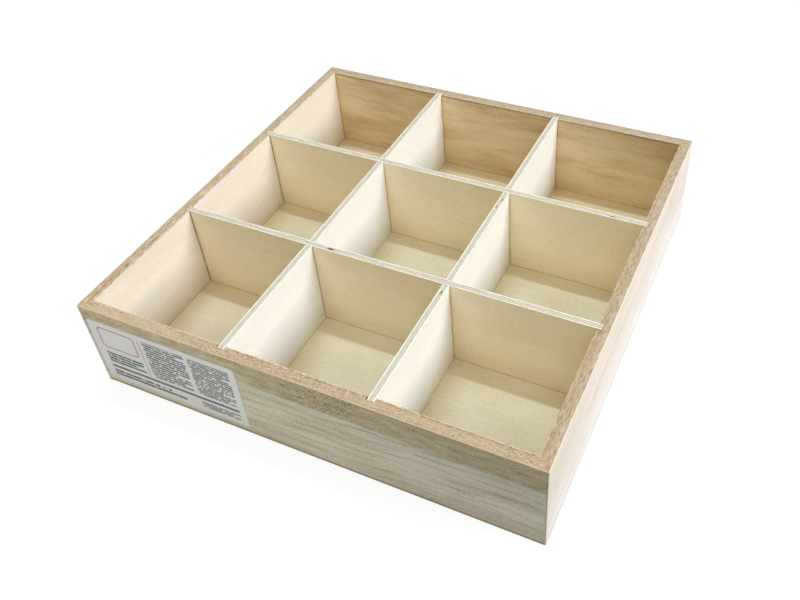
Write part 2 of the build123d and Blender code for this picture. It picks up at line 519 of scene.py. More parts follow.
def outer_face(wood, look):
    """Colour of a board's outer face."""
    tree = wood.tree
    colour = add(tree, "Mix", {0: wood.shade, 6: look.outer[0], 7: look.outer[1]}, **COLOURS)
    if look.figured:
        figure = summed(tree, [(wood.fine_rings, 0.5)], wood.rings)
        figure = add(tree, "Math", [figure, look.figured], operation="MULTIPLY", use_clamp=True)
        colour = add(tree, "Mix", {0: figure, 6: colour, 7: RING_BROWN}, **COLOURS)
    if look.stave:
        colour = top_stave(wood, colour, look.stave)
    if look.knots:
        dark = add(tree, "Math", [spots(tree, wood.place, look.knots, UPWARD), 0.5], operation="MULTIPLY")
        colour = add(tree, "Mix", {0: dark, 6: colour, 7: KNOT_BROWN}, **COLOURS)
    # Painted light: a warmer tone towards the top
    if look.head:
        colour = glazed(tree, colour, add(tree, "MapRange", [wood.height, *LIT_TOP_RISE]), look.head)
    # Painted shade: brighter and darker along the board
    light = add(tree, "MapRange", [wood.along, *look.fade])
    colour = add(tree, "VectorMath", {0: colour, "Scale": light}, operation="SCALE")
    # A thin dark line where two outer faces meet: the mitre joint, with painted shade on the rounded corner
    at_end = add(tree, "MapRange", [wood.along, *MITRE_SHADOW, 0.0, 0.55])
    return add(tree, "Mix", {0: at_end, 6: colour, 7: MITRE_BROWN}, **COLOURS)


print(f"the mitre's shadow starts {half_width - MITRE_SHADOW[0]:.2f} mm from a board's end")

# %% [markdown]
# ## The boards: inner faces
#
# Inside, the wood is painted warmer towards the rim, and painted shade lies up the corners and
# along the foot. The back board's inner face stands in shade and has the darkest tones, which
# paint that shade: golden, duller towards its right end as seen from the front, and brown just
# under its rim. Soft ramps along and up the board could be painted as one picture, but as
# numbers they follow the size of the tray.

# %% Inner faces
# Where the painted shade of the back board sets in and is full, along it and up it, and its glaze
BACK_SHADE_ALONG, BACK_SHADE_UP, BACK_SHADE_TINT = (-25.0, -105.0), (20.0, 46.0), "#E6E4D6"
# Painted shade: a brown band just under the rim of the back board
UNDER_RIM = (rim_height - 2.2, rim_height - 1.2)
UNDER_RIM_SHADE = "#8A6A38"


def inner_face(wood, look):
    """Colour of a board's inner face."""
    tree = wood.tree
    colour = add(tree, "Mix", {0: wood.shade, 6: look.inner[0], 7: look.inner[1]}, **COLOURS)
    # Painted light: warmer towards the rim
    colour = painted_warm_light(wood, colour, look.sunned)
    # Painted shade: golden towards the top right of each compartment, and duller towards the top of the right
    # end
    if look.dusky:
        # This board is turned half round, so its right end in the tray is its left one here
        colour = painted_bounce_shade(wood, colour, -1)
        to_end = add(tree, "MapRange", [wood.along, *BACK_SHADE_ALONG, 0.0, look.dusky])
        high = add(tree, "MapRange", [wood.height, *BACK_SHADE_UP])
        end_shade = add(tree, "Math", [to_end, high], operation="MULTIPLY")
        colour = glazed(tree, colour, end_shade, BACK_SHADE_TINT)
    # Painted shade: a brown band just under the rim
    if look.topped:
        high = summed(tree, [(wood.fibres, -1.0)], wood.height)
        band = add(tree, "MapRange", [high, *UNDER_RIM, 0.0, look.topped])
        colour = add(tree, "Mix", {0: band, 6: colour, 7: UNDER_RIM_SHADE}, **COLOURS)
    # Painted shade up the inner corners and along the foot
    return add(tree, "Mix", {0: painted_corner_shade(wood), 6: colour, 7: GLUE_AND_CORNER_SHADE}, **COLOURS)


print(f"inner faces are {2 * inner_half:.0f} mm long and {rim_height - floor_height:.0f} mm high")

# %% [markdown]
# ## The boards: slots and pores
#
# The slots were sawn across the grain, so their walls are rougher and darker, and their tone is
# darkened further as painted shade for the narrow gaps round the dividers. All that tells an
# outer face from an inner one or a slot is how deep a place lies in the board.
# Each face could have a material slot of its own, but the meshes come with one for the whole
# board, so the depth chooses between the three colours. The pores run through all of them.

# %% Slots and pores
# The slot tone is sawn grain darkened further by painted shade
SLOT_GRAIN_AND_SHADE, PORE_TONE = "#A08A5A", "#805E3C"
# Places along the depth, between which the colour of the next part takes over
TO_SLOTS = (1.0 - half_width, 1.3 - half_width)
TO_INSIDE = (-0.3 - inner_half, -0.1 - inner_half)


def board_faces(wood, look):
    """Colour of a board everywhere but on its rim: outside, in its slots and inside."""
    tree = wood.tree
    in_slot = add(tree, "MapRange", [wood.depth, *TO_SLOTS])
    on_inside = add(tree, "MapRange", [wood.depth, *TO_INSIDE])
    colour = add(tree, "Mix", {0: in_slot, 6: outer_face(wood, look), 7: SLOT_GRAIN_AND_SHADE}, **COLOURS)
    colour = add(tree, "Mix", {0: on_inside, 6: colour, 7: inner_face(wood, look)}, **COLOURS)
    # Pores are short dark dashes along the grain
    pores = patches(tree, wood.place, (2.6, 0.4, 0.35), wood.seed + 11, detail=1)
    pores = add(tree, "MapRange", [pores, 0.64, 0.76])
    pores = add(tree, "Math", [pores, look.pored], operation="MULTIPLY")
    return add(tree, "Mix", {0: pores, 6: colour, 7: PORE_TONE}, **COLOURS)


print(f"the tone of the slots fills {TO_INSIDE[0] - TO_SLOTS[1]:.1f} mm of the {board_thickness:.0f}")

# %% [markdown]
# ## The boards: streaks on the sawn rims
#
# The rims were sawn and sanded across many fibres, so they are pinker than the faces and
# streaky. Where the saw tore them, brown and cream fibres lie side by side. Two materials
# could be blended along the board, but then one kind of streak would fade into another. Two
# ramps over the same streaks, one for smooth wood and one for torn, keep each in its place.

# %% Streaks and tears
RIM_TONES = ["#AA8C69", "#C9AD89", "#D9BE9A", "#E7D1B1"]
TORN_TONES = ["#7F5B3C", *RIM_TONES[:3], "#F4E4CC"]
# Places along a board between which its rim grows calmer, and its tint goes from left to right
CALMING, LEFT_TO_RIGHT = (0.0, 40.0), (-60.0, 60.0)


def streaky_rim(wood, look):
    """Colour of a rim before anything lies on it: smooth streaks that turn into torn fibres.

    How torn it is rises between two places along the board and may fall again past its
    middle. A tint across the rim, from outside to inside, is given for each end. The strands
    are 0.26 mm thick, which is coarser than real fibres, so that they show from here."""
    tree, place, seed = wood.tree, wood.place, wood.seed
    torn = add(tree, "MapRange", [wood.along, look.torn[0], look.torn[1], 0.0, look.torn[2]])
    calmer = add(tree, "MapRange", [wood.along, *CALMING, 1.0, look.calm])
    wood.tear = add(tree, "Math", [torn, calmer], operation="MULTIPLY")
    streaks = patches(tree, place, (10, 0.8, 4), seed + 13, detail=3, roughness=0.6)
    wood.strands = patches(tree, place, (look.strand, 0.26, 1.2), seed + 15, roughness=0.6, bend=0.5)
    mixed = summed(tree, [(streaks, 0.3)], wood.strands)
    smooth = add(tree, "ValToRGB", [mixed], stops=list(zip((0.46, 0.58, 0.68, 0.81), RIM_TONES)))
    rough = add(tree, "ValToRGB", [mixed], stops=list(zip((0.47, 0.56, 0.63, 0.71, 0.82), TORN_TONES)))
    colour = add(tree, "Mix", {0: wood.tear, 6: smooth, 7: rough}, **COLOURS)
    across = add(tree, "MapRange", [wood.depth, -half_width, -inner_half])
    tints = [add(tree, "ValToRGB", [across], stops=list(zip((0.1, 0.5, 0.9), end))) for end in look.rim]
    to_right = add(tree, "MapRange", [wood.along, *LEFT_TO_RIGHT])
    tint = add(tree, "Mix", {0: to_right, 6: tints[0], 7: tints[1]}, **COLOURS)
    return add(tree, "VectorMath", [colour, tint], operation="MULTIPLY")


print(f"{len(RIM_TONES)} tones for a smooth rim, {len(TORN_TONES)} for a torn one")

# %% [markdown]
# ## The boards: dark lines along a rim
#
# Here and there a ring comes out on a rim as a dark line along the grain, broken where the
# saw tore it away. Slow noise shifts it sideways, so that it wanders as a ring does, and a
# finer one breaks it up. Drawn curves would have to be laid out by hand for each board.

# %% Dark lines
STRIPE_BROWN = "#8C5A34"
STRIPE_WANDER = 1.6
STRIPE_END = 3.0


def dark_stripes(wood, colour, stripes):
    """Lays broken dark lines along the rim, which wander as slow noise does.

    A stripe is how far in from the outer edge it lies, from where to where it runs, its
    breadth in mm and its strength."""
    tree = wood.tree
    wander = patches(tree, wood.place, (16, 3, 3), wood.seed + 23)
    whole = add(tree, "MapRange", [patches(tree, wood.place, (3.5, 1, 1), wood.seed + 25), 0.40, 0.55])
    for inset, begin, end, breadth, strength in stripes:
        off = summed(tree, [(wander, STRIPE_WANDER)], wood.depth)
        off = add(tree, "Math", [off, half_width - inset - STRIPE_WANDER / 2], operation="ADD")
        off = add(tree, "Math", [off], operation="ABSOLUTE")
        line = add(tree, "MapRange", [off, breadth / 2, breadth, strength, 0.0])
        off = add(tree, "Math", [wood.along, (begin + end) / 2], operation="SUBTRACT")
        off = add(tree, "Math", [off], operation="ABSOLUTE")
        reach = add(tree, "MapRange", [off, (end - begin) / 2 - STRIPE_END, (end - begin) / 2, 1.0, 0.0])
        reach = add(tree, "Math", [reach, whole], operation="MULTIPLY")
        line = add(tree, "Math", [line, reach], operation="MULTIPLY")
        colour = add(tree, "Mix", {0: line, 6: colour, 7: STRIPE_BROWN}, **COLOURS)
    return colour


print(f"a dark line wanders within {STRIPE_WANDER} mm and fades out over {STRIPE_END:.0f} mm")

# %% [markdown]
# ## The boards: both edges of a rim
#
# The outer edge of a rim is a little rounded and has a tone of its own for each board, which
# also paints the light and shade on the rounding: pale on the right board, which faces the
# light, and dark on the left one. Along the inner edge runs a pale ragged line of fibres that
# the saw raised, broader where the rim is torn. All of them as meshes would be too many, and
# too small to see. So noise is added to the way across the rim before that is cut off at the
# edge, which gives a ragged line. Only the largest fibres, which stand free, are made as a mesh
# further on.

# %% Rim edges
MARK_BROWN, RAISED_CREAM = "#9A6438", "#F0E3CC"
# Greatest breadth of the line of raised fibres in millimetres, and what a tear adds to it
RAISED, RAISED_IF_TORN = 0.4, 0.7


def sawn_rim(wood, look):
    """Colour of a rim with its stripes, marks, outer edge and raised fibres."""
    tree = wood.tree
    colour = dark_stripes(wood, streaky_rim(wood, look), look.stripes)
    if look.marks:
        dark = add(tree, "Math", [spots(tree, wood.place, look.marks, ACROSS), 0.75], operation="MULTIPLY")
        colour = add(tree, "Mix", {0: dark, 6: colour, 7: MARK_BROWN}, **COLOURS)
    outer_edge = add(tree, "MapRange", [wood.depth, -half_width + 0.5, -half_width + 0.3, 0.0, 0.8])
    # Painted light and shade on the rounded outer edge, in the board's own tone
    colour = add(tree, "Mix", {0: outer_edge, 6: colour, 7: look.arris}, **COLOURS)
    # Raised fibres reach further out where the rim is torn
    wood.wobble = patches(tree, wood.place, (3.2, 0.8, 3.2), wood.seed + 17, detail=4, roughness=0.7)
    wood.wobble = add(tree, "MapRange", [wood.wobble, 0.38, 0.7])
    breadth = add(tree, "Math", [wood.tear, RAISED_IF_TORN, RAISED], operation="MULTIPLY_ADD")
    reach = summed(tree, [(wood.wobble, breadth)], wood.depth)
    raised = add(tree, "MapRange", [reach, -inner_half - 0.12, -inner_half + 0.15, 0.0, look.frayed])
    return add(tree, "Mix", {0: raised, 6: colour, 7: RAISED_CREAM}, **COLOURS)


print(f"raised fibres reach in by {RAISED} mm at most, or {RAISED + RAISED_IF_TORN:.1f} mm where it is torn")

# %% [markdown]
# ## The boards: glue in the mitres
#
# The boards meet at 45 degrees, and a little glue shows in the joint on top. A thin strip of
# mesh could lie there, but it would float over the rim. On the mitre the way to the board's
# end is as long as the way to its outer face, so the difference of the two says how far a
# place is from the joint.

# %% Glue in the mitres
# Two distances from the joint, and how much glue lies at each
GLUE_LINE = (0.32, 0.55, 0.6, 0.0)


def mitre_glue(wood, colour):
    """Lays a thin line of glue over the mitres. It gets lost where the rim is torn."""
    tree = wood.tree
    off_middle = add(tree, "Math", [wood.along], operation="ABSOLUTE")
    to_end = add(tree, "Math", [half_width, off_middle], operation="SUBTRACT")
    to_face = add(tree, "Math", [wood.depth, half_width], operation="ADD")
    off_mitre = add(tree, "Math", [to_end, to_face], operation="SUBTRACT")
    off_mitre = add(tree, "Math", [off_mitre], operation="ABSOLUTE")
    off_mitre = summed(tree, [(wood.wobble, 0.5)], off_mitre)
    glue = add(tree, "MapRange", [off_mitre, *GLUE_LINE])
    whole = add(tree, "MapRange", [wood.tear, 0.0, 0.6, 1.0, 0.0])
    glue = add(tree, "Math", [glue, whole], operation="MULTIPLY")
    return add(tree, "Mix", {0: glue, 6: colour, 7: GLUE_AND_CORNER_SHADE}, **COLOURS)


print(f"a mitre is {board_thickness * math.sqrt(2):.1f} mm long on the rim")

# %% [markdown]
# ## The boards: the whole finish
#
# The rim takes over from the faces in the last third of a millimetre. The relief follows the
# fibres of the wood, and on the rim its strands as well, most of all where it is torn. The
# roughness changes with the fibres too. All that tells one board from another could be handed
# over each time, but there are over twenty values. So a board's list says only what is its
# own, and a plain board says the rest, which keeps the lists short enough to compare.

# %% A plain board
# What a board has where its own list says nothing else
PLAIN_BOARD = {
    # The next value paints shade along the outer face
    "fade": (-120.0, 120.0, 1.0, 1.0),  # two places along the outer face and its brightness there
    "run": 18.0,  # length of the fibres on the faces
    "fine": 0.9,  # how much fibres and flecks count against the clouds
    "ringed": 0.4,  # how dark the year rings are
    "pored": 0.25,  # how dark the pores are
    "figured": 0.0,  # how brown the rings of the outer face are
    # The next value paints light on the outer face towards its top
    "head": None,  # tone of the outer face towards its top
    "stave": None,  # pale and dark tone of a strip glued on along the top
    "knots": (),  # small knots in the outer face
    # These three paint light and shade on the inner face: warmth towards the rim, shade towards one end, and
    # a brown band of shade just under the rim
    "sunned": 1.0,  # how yellow the inner face is towards the rim
    "dusky": 0.0,  # how dull the inner face gets towards one end
    "topped": 0.0,  # how brown it is just under the rim
    "calm": 1.0,  # how torn the right half of the rim is against the left
    "frayed": 0.7,  # how pale the raised fibres on the inner edge are
    "marks": (),  # small dark spots on the rim
    "stripes": (),  # dark lines along the rim
}
print(f"a plain board has {len(PLAIN_BOARD)} values to change")

# %% Board finish
RIM_START = (rim_height - 0.32, rim_height - 0.2)
PLANED_ROUGHNESS = (0.62, 0.78)


def board_finish(name, turn, seed, **look):
    """Planed softwood for one board of the frame, which is turned about Z by this angle.

    To the eye it is matt and pale, with silky streaks along the faces and a rougher, pinker
    rim. Every board's list gives a pale and a dark tone for its outer and its inner face, the
    tone of its outer edge with the light and shade painted on it, where its rim begins and ends
    to be torn and how torn it gets, the length of the strands there, and tints across the rim for
    its left and its right end."""
    look = SimpleNamespace(**{**PLAIN_BOARD, **look})
    wood = new_wood(name, seed, turn)
    tree = wood.tree
    plane_the_wood(wood, look)
    on_rim = add(tree, "MapRange", [wood.height, *RIM_START])
    colour = add(tree, "Mix", {0: on_rim, 6: board_faces(wood, look), 7: sawn_rim(wood, look)}, **COLOURS)
    colour = mitre_glue(wood, colour)
    standing = add(tree, "Math", [wood.tear, 1.2, 0.4], operation="MULTIPLY_ADD")
    standing = add(tree, "Math", [on_rim, standing], operation="MULTIPLY")
    relief = summed(tree, [(wood.fibres, 0.5), (wood.strands, standing)])
    roughness = add(tree, "MapRange", [wood.fibres, 0.3, 0.7, *PLANED_ROUGHNESS])
    return raw_wood(wood, colour, roughness, relief, strength=0.5, depth=0.25)


print(f"the finish of a rim starts {rim_height - RIM_START[0]:.2f} mm below its top")

# %% [markdown]
# ## The four boards
#
# The four boards differ: each has its own tones and has worn in its own way. They could have
# four materials made by hand, but one finish and a list for each board show at a glance what
# differs. Places are in millimetres along the board from its middle, as seen from outside,
# then across or up.

# %% What each board has of its own
HIDDEN_SIDE = ("#E6DBC4", "#CFC0A0")
PALE_INSIDE = ("#F2EADA", "#E2D5BC")
board_looks = {
    "front_wall": dict(
        name="planed_softwood_front", turn=0.0, seed=1.0, outer=("#DCD5BC", "#A1946E"), inner=PALE_INSIDE,
        arris="#DDC29E", torn=(-85.0, -20.0, 0.9), calm=0.4, strand=1.5, frayed=0.85,
        rim=(("#F0F4F4", "#F1F2F1", "#F3F7F8"), ("#E4E4E2", "#EFF1F0", "#E8E7E1")),
        fade=(-40.0, 118.0, 1.0, 0.66), stave=("#CBBC99", "#8A7A54"),
        knots=((-3.7, 49.1, 1.6, 0.7), (4.6, 44.2, 2.2, 0.8), (20.0, 41.3, 1.2, 0.6)),
        marks=((-114.0, -116.4, 1.6, 0.35), (-111.0, -115.3, 1.3, 0.3), (-96.0, -115.2, 1.0, 0.3),
               (102.0, -114.6, 0.6, 0.3), (111.0, -114.5, 0.6, 0.3)),
        stripes=((5.1, -75.0, 117.0, 0.4, 0.5),)),
    "right_wall": dict(
        name="planed_softwood_right", turn=math.pi / 2, seed=21.0, outer=("#DED8CF", "#C6BAA9"),
        inner=PALE_INSIDE, arris="#EADBC8", torn=(190.0, -90.0, 0.6), strand=4.0, frayed=0.4,
        rim=(("#F4F4F4", "#E4E5E5", "#E2DCD6"), ("#E6EAEA", "#E6EBEC", "#E6E6E3")),
        fade=(-120.0, -40.0, 0.88, 1.0), head="#F4ECE2"),
    # The back board's darker, golden inner tones paint the shade its inner face stands in
    "back_wall": dict(
        name="planed_softwood_back", turn=math.pi, seed=41.0, outer=HIDDEN_SIDE, inner=("#E9D5AE", "#BE9B69"),
        arris="#B09A78", torn=(-100.0, 400.0, 1.0), strand=3.4,
        rim=(("#D9DED6", "#E6ECF1", "#EAEFF7"), ("#E3E8E4", "#E4E5DA", "#F2FAFF")),
        ringed=0.12, pored=0.3, run=12.0, fine=0.6, figured=0.38, sunned=0.0, dusky=1.0, topped=0.6),
    "left_wall": dict(
        name="planed_softwood_left", turn=-math.pi / 2, seed=61.0, outer=HIDDEN_SIDE,
        inner=("#F5ECDF", "#E6DBCA"), arris="#8C8468", torn=(-120.0, 120.0, 1.4), strand=4.5, frayed=0.9,
        rim=(("#E1E4DA", "#ECF2EE", "#F1F7F8"), ("#F4F7EC", "#F9F8F4", "#FFFFFF")),
        ringed=0.2, run=5.0, figured=0.38,
        stripes=((3.6, 62.0, 119.0, 0.4, 0.7), (5.0, 100.0, 119.0, 0.4, 0.6))),
}
print("values of their own:", {name: len(look) for name, look in board_looks.items()})

# %% [markdown]
# ## Dressing a piece
#
# A mesh keeps its materials in slots, and each of its faces names the slot that it wears. Each
# solid comes with one slot, which holds only a stand-in. A slot could be made for each face of
# a board, but these finishes find out for themselves where on the board they are, so the one
# that is there is enough.

# %% Dress the four boards
def wear(piece, material):
    """Gives a piece one material, in every slot that it has."""
    if not piece.data.materials:
        piece.data.materials.append(material)
    for slot in piece.material_slots:
        slot.material = material


for name, look in board_looks.items():
    wear(nodes[name], board_finish(**look))
    print(f"{name}: {len(nodes[name].active_material.node_tree.nodes)} nodes")

# %% [markdown]
# ## The dividers: veneer
#
# The dividers are poplar plywood with a nearly white veneer on both faces. Poplar grows
# evenly and its veneer is peeled off the turning trunk, so rings hardly show: a few faint
# fibres and soft clouds are enough, where a photograph would have to be fitted to each strip.
# The two strips that run across stand with their faces in shade, and their veneer is given
# darker, more golden tones than the two long ones, as painted shade, most of all towards the top
# right of each compartment.

# %% Veneer
def veneer_face(wood, look):
    """Colour of a divider's faces. The fibres are drawn 0.8 mm thick, far coarser than real."""
    tree, place, seed = wood.tree, wood.place, wood.seed
    wood.fibres = patches(tree, place, (30, 0.8, 0.8), seed, detail=3)
    clouds = patches(tree, place, (45, 20, 14), seed + 5)
    flecks = patches(tree, place, (1.2, 0.7, 0.7), seed + 7, detail=1)
    shade = add(tree, "MapRange", [summed(tree, [(flecks, 0.9), (clouds, 0.7)], wood.fibres), 1.0, 1.6])
    colour = add(tree, "Mix", {0: shade, 6: look["pale"], 7: look["dark"]}, **COLOURS)
    # Painted light: warmer towards the top, and on the cross strips painted shade towards the top right
    colour = painted_warm_light(wood, colour, look["sunned"])
    if look["bounce_shade"]:
        colour = painted_bounce_shade(wood, colour, 1)
    # Painted shade up the inner corners and along the foot
    return add(tree, "Mix", {0: painted_corner_shade(wood), 6: colour, 7: GLUE_AND_CORNER_SHADE}, **COLOURS)


print(f"dividers are {divider_thickness:.1f} mm thick and {divider_high[2] - divider_low[2]:.0f} mm high")

# %% [markdown]
# ## The dividers: sawn edges
#
# A sawn edge shows what plywood is made of. The veneers are two white lines, and between them
# lies a core of greyer, looser wood, with a thin seam of glue beside each veneer and a few
# dark voids where the core has gaps. The plies could be meshes of their own, but they are
# glued into one sheet, and the distance from its middle tells them apart as well.

# %% Sawn edges
CORE_TONES = ["#A2967A", "#C9BFA4", "#DAD2BB", "#E9E3D0"]
VENEER_EDGE, SEAM, VOID = "#FCF7E8", "#948C70", "#4C3022"
half_divider = divider_thickness / 2


def plywood_edge(wood, look, voids):
    """Colour of a sawn edge: the core between the two veneers, with its glue seams and voids.

    With d the distance from the middle of the sheet and n noise, r = d + 0.9 n. The seam lies
    where r is half the thickness less 0.3 mm, and the veneer is white from 0.2 mm past that."""
    tree, place, seed = wood.tree, wood.place, wood.seed
    wood.streaks = patches(tree, place, (3.5, 0.5, 2), seed + 9, detail=3, roughness=0.75)
    core = add(tree, "ValToRGB", [wood.streaks], stops=list(zip((0.28, 0.42, 0.55, 0.75), CORE_TONES)))
    ragged = patches(tree, place, (3, 3, 3), seed + 15, detail=3, roughness=0.7)
    reach = summed(tree, [(ragged, 0.9)], wood.off_middle)
    off_seam = add(tree, "Math", [reach, half_divider - 0.3], operation="SUBTRACT")
    off_seam = add(tree, "Math", [off_seam], operation="ABSOLUTE")
    seam = add(tree, "MapRange", [off_seam, 0.08, 0.25, 1.0, 0.0])
    whole = add(tree, "MapRange", [patches(tree, place, (7, 2, 2), seed + 17), 0.4, 0.6, 0.2, look["seamed"]])
    seam = add(tree, "Math", [seam, whole], operation="MULTIPLY")
    veneer = add(tree, "MapRange", [reach, half_divider - 0.35, half_divider - 0.1])
    colour = add(tree, "Mix", {0: veneer, 6: core, 7: VENEER_EDGE}, **COLOURS)
    colour = add(tree, "Mix", {0: seam, 6: colour, 7: SEAM}, **COLOURS)
    return add(tree, "Mix", {0: spots(tree, place, voids, ACROSS), 6: colour, 7: VOID}, **COLOURS)


print(f"a seam lies about {half_divider - 0.3 - 0.9 / 2:.1f} mm from the middle of the sheet")

# %% [markdown]
# ## The four dividers
#
# Veneer and edge meet at the full thickness of the strip. Three looks serve for the four
# dividers, because the two long ones look alike. Chance could scatter the voids, but then they
# would lie anywhere. Written down one by one, they lie where the largest ones are on the real
# strips.

# %% Divider finish
def divider_finish(name, seed, turn, centre, look, voids):
    """Poplar plywood for one divider. centre is the middle of its thickness, across the grain.

    To the eye the peeled face is chalky and smooth, and the sawn edge coarser and striped."""
    wood = new_wood(name, seed, turn, (0.0, centre, 0.0))
    tree = wood.tree
    wood.off_middle = add(tree, "Math", [wood.depth], operation="ABSOLUTE")
    on_face = add(tree, "MapRange", [wood.off_middle, half_divider - 0.03, half_divider - 0.01])
    edge = plywood_edge(wood, look, voids)
    colour = add(tree, "Mix", {0: on_face, 6: edge, 7: veneer_face(wood, look)}, **COLOURS)
    relief = summed(tree, [(wood.fibres, 0.5)], wood.streaks)
    return raw_wood(wood, colour, roughness=0.7, relief=relief, strength=0.4, depth=0.2)


print(f"a face starts {half_divider - 0.01:.2f} mm from the middle of its sheet")

# %% Dress the four dividers
LONG_VENEER = {"pale": "#F9F7F3", "dark": "#EFEDE7", "sunned": 1.0, "seamed": 0.45, "bounce_shade": False}
# The cross strips' darker, more golden tones paint the shade on their faces
FRONT_VENEER_SHADED = {"pale": "#F5EBD2", "dark": "#E8DAB9", "sunned": 0.5, "seamed": 1.0, "bounce_shade": True}
BACK_VENEER_SHADED = {"pale": "#FBF2D8", "dark": "#EFE2C0", "sunned": 0.5, "seamed": 1.0, "bounce_shade": True}
# Each divider's veneer and the voids in its top edge: place along it and across it, half sizes
divider_looks = {
    "left_long_divider": (LONG_VENEER, ((66.0, 0.5, 0.9, 0.2),)),
    "right_long_divider": (LONG_VENEER, (
        (-45.6, 0.0, 1.4, 0.3), (29.6, -0.3, 1.5, 0.3), (23.6, 0.4, 1.2, 0.25))),
    "front_cross_divider": (FRONT_VENEER_SHADED, ((-26.4, -0.2, 2.0, 0.55), (-72.0, 0.3, 1.0, 0.2))),
    "back_cross_divider": (BACK_VENEER_SHADED, ((97.0, -0.6, 2.2, 0.3),)),
}
for number, (name, (look, voids)) in enumerate(divider_looks.items()):
    low, high = box_mm(name)
    long_way = high[1] - low[1] > high[0] - low[0]
    turn = math.pi / 2 if long_way else 0.0
    centre = -(low[0] + high[0]) / 2 if long_way else (low[1] + high[1]) / 2
    seed = 10.0 * number + 5
    wear(nodes[name], divider_finish(f"poplar_plywood_{name}", seed, turn, centre, look, voids))
    print(f"{name}: its middle is {centre:.2f} mm from the tray's, voids: {len(voids)}")

# %% [markdown]
# ## The bottom: its floor side
#
# The bottom is the same sort of plywood, thin and a little greener. Inside the tray, painted
# bounce light makes it more golden beside the walls and at the back, painted shade dims its left
# third a little, and a line of painted shade runs along the feet of the walls.
# Nine floors could be painted one by one, but the smaller of the two distances from the grid,
# along X and along Y, finds the nearest wall in all of them at once.

# %% Floor
FLOOR_TONES = ("#F5F0D7", "#E0D8B4")
# Painted light: tints of bounced light beside the walls and at the back, a tint of painted shade in the left
# third, and where each of them sets in
PAINTED_WALL_BOUNCE, PAINTED_LEFT_SHADE, PAINTED_BACK_BOUNCE = "#FDF5EA", "#FBF8F7", "#FDF7EB"
BESIDE_WALLS, TO_THE_LEFT, TO_THE_BACK = (3.0, 16.0, 1.0, 0.0), (-40.0, -80.0), (84.0, 108.0)
# As with CORNER_LINE: two distances, and how much of the painted shade along the feet lies at each
FOOT_SHADE_LINE = (-0.4, 0.1, 0.55, 0.0)


def floor_side(wood, colour):
    """Colour of the floor: plain plywood with its tints of painted bounce light and shade, and painted shade
    along the walls.
    """
    tree = wood.tree
    from_sides, from_ends = grid_edge(tree, wood.along), grid_edge(tree, wood.depth)
    corner = add(tree, "Math", [from_sides, from_ends], operation="MINIMUM")
    # Painted bounce light and shade: tints beside the walls, in the left third and at the back
    colour = glazed(tree, colour, add(tree, "MapRange", [corner, *BESIDE_WALLS]), PAINTED_WALL_BOUNCE)
    colour = glazed(tree, colour, add(tree, "MapRange", [wood.along, *TO_THE_LEFT]), PAINTED_LEFT_SHADE)
    colour = glazed(tree, colour, add(tree, "MapRange", [wood.depth, *TO_THE_BACK]), PAINTED_BACK_BOUNCE)
    # Painted shade along the feet of the walls
    loose = summed(tree, [(patches(tree, wood.place, (2.0, 2.0, 2.0), 19.0), RAGGED)], corner)
    foot_shade = add(tree, "MapRange", [loose, *FOOT_SHADE_LINE])
    foot_shade = add(tree, "Math", [foot_shade, exposed(tree, corner)], operation="MULTIPLY")
    return add(tree, "Mix", {0: foot_shade, 6: colour, 7: GLUE_AND_CORNER_SHADE}, **COLOURS)


print(f"nine floors of {opening:.1f} by {opening:.1f} mm")

# %% [markdown]
# ## The bottom: its outer edge
#
# Round the tray the edge of the bottom shows as a thin band under the boards. Its plies are
# dark, with painted shade that is darkest below, where the edge faces down, and grows darker
# to the right along the front, and they are paler on the right side, which faces the light.
# Each ply could be a thin solid, but they are glued fast and level, so a ramp over the height
# draws them.

# %% Edge of the bottom
# Ply bands up the edge, whose darkest part at the foot is painted shade
PLY_BANDS = [
    (0.0, "#5E5738"), (0.28, "#6A6340"), (0.34, "#93885E"),
    (0.80, "#9A8F66"), (0.92, "#8B7E52"), (1.0, "#8B7E52")]
RIGHT_EDGE = "#BBB6A3"
# Two places along the front and how bright the edge is there under its painted shade
EDGE_LIGHT = (-40.0, 118.0, 1.0, 0.8)
# From here on a place counts as lying on the outer edge
FULL_WIDTH = (half_width - 0.65, half_width - 0.55)


def bottom_edge(wood):
    """Colour of the outer edge: bands up its height with painted shade, darker to the right, but pale on the
    right side.
    """
    tree = wood.tree
    share = add(tree, "Math", [wood.height, floor_height], operation="DIVIDE")
    plies = add(tree, "ValToRGB", [share], stops=PLY_BANDS)
    # Painted shade: darker to the right along the front
    light = add(tree, "MapRange", [wood.along, *EDGE_LIGHT])
    plies = add(tree, "VectorMath", {0: plies, "Scale": light}, operation="SCALE")
    on_right = add(tree, "MapRange", [wood.along, *FULL_WIDTH])
    return add(tree, "Mix", {0: on_right, 6: plies, 7: RIGHT_EDGE}, **COLOURS)


print(f"the edge is {floor_height:.0f} mm high")

# %% [markdown]
# ## The bottom: the whole finish
#
# The floor side takes over at the very top, and the edge wherever a place lies at the full
# width of the tray. What is left is the underside, which is plain veneer: no light and hardly
# any dust have reached it. Three material slots would do as well, but the faces would first
# have to be sorted into them, and the place of a point is known anyway.

